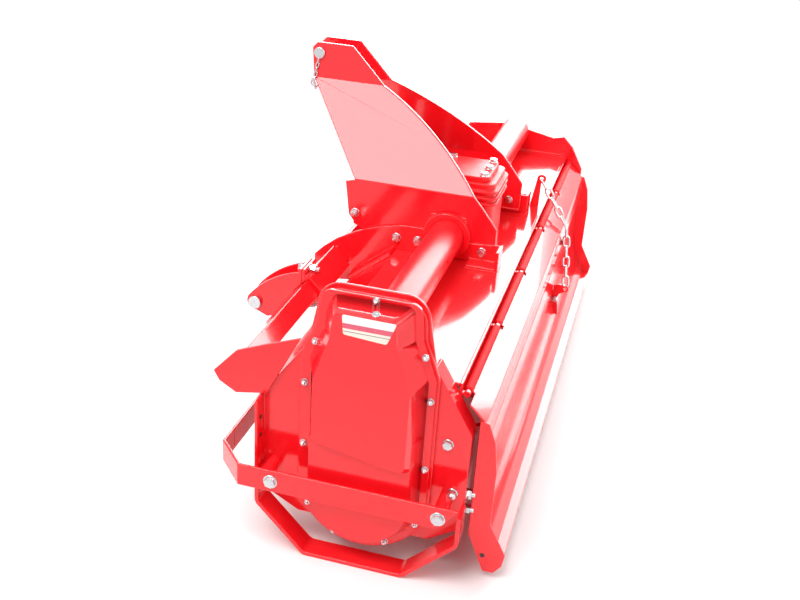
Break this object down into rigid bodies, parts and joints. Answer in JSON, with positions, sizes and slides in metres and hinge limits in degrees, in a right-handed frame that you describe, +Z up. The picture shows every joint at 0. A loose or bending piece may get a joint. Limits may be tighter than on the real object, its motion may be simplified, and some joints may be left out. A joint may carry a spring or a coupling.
{
  "type": "rotary tiller",
  "caption": "Tractor-mounted rotary tiller with a side chain case, bent-plate mast, clamped lower clevises, tined rotor and a hinged levelling board.",
  "frame": {"origin": "floor level under the middle of the whole machine", "axes": "+X to the chain case side, -Y to the tractor, +Z up"},
  "size_m": [1.534, 0.647, 0.775],
  "materials": {
    "red_paint": "gloss enamel",
    "cast_paint": "gloss enamel on cast iron",
    "zinc_steel": "bright zinc",
    "bare_steel": "machined",
    "tine_steel": "painted forged steel",
    "black_plastic": "moulded"
  },
  "bodies": {
    "frame": {"side_plate_drive": "red_paint", "side_plate_far": "red_paint", "chain_case": "red_paint", "chain_case_cover": "red_paint", "bearing_far": "cast_paint", "gearbox": "cast_paint", "gearbox_cover": "cast_paint", "input_guard": "black_plastic", "axle_tube_drive": "red_paint", "axle_tube_far": "red_paint", "mast_plate_drive": "red_paint", "mast_plate_far": "red_paint", "mast_web": "red_paint", "top_link_pin": "zinc_steel", "arm_plate_drive": "red_paint", "arm_plate_far": "red_paint", "hood": "red_paint", "hinge_bar": "red_paint", "hinge_rod": "zinc_steel", "front_beam": "red_paint", "end_plate_drive": "red_paint", "end_plate_far": "red_paint", "lower_clevis_drive": "red_paint", "lower_clevis_far": "red_paint", "clevis_strap_drive": "red_paint", "clevis_strap_far": "red_paint", "lower_pin_drive": "zinc_steel", "lower_pin_far": "zinc_steel", "skid_drive": "red_paint", "skid_far": "red_paint", "guard_strap_drive": "red_paint", "guard_strap_far": "red_paint", "guard_bar": "red_paint", "chain_bracket": "red_paint", "chain_upper": "zinc_steel"},
    "board": {"levelling_board": "red_paint", "board_end_drive": "red_paint", "board_end_far": "red_paint", "board_hook": "red_paint", "chain_lower": "zinc_steel"},
    "rotor": {"rotor_shaft": "red_paint", "rotor_tines": "tine_steel"},
    "input": {"input_shaft": "bare_steel"}
  },
  "joints": [
    {"name": "rotor_spin", "type": "hinge", "parent": "frame", "child": "rotor", "pos_m": [0, 0.0555, 0.175], "axis": [1, 0, 0], "continuous": true},
    {"name": "input_spin", "type": "hinge", "parent": "frame", "child": "input", "pos_m": [-0.028, -0.0945, 0.43], "axis": [0, 1, 0], "continuous": true},
    {"name": "board_lift", "type": "hinge", "parent": "frame", "child": "board", "pos_m": [0, 0.2195, 0.357], "axis": [1, 0, 0], "range_deg": [0, 60], "deforming": ["chain_upper"]}
  ],
  "couplings": [
    {"joint": "input_spin", "follows": "rotor_spin", "ratio": 2.6}
  ]
}
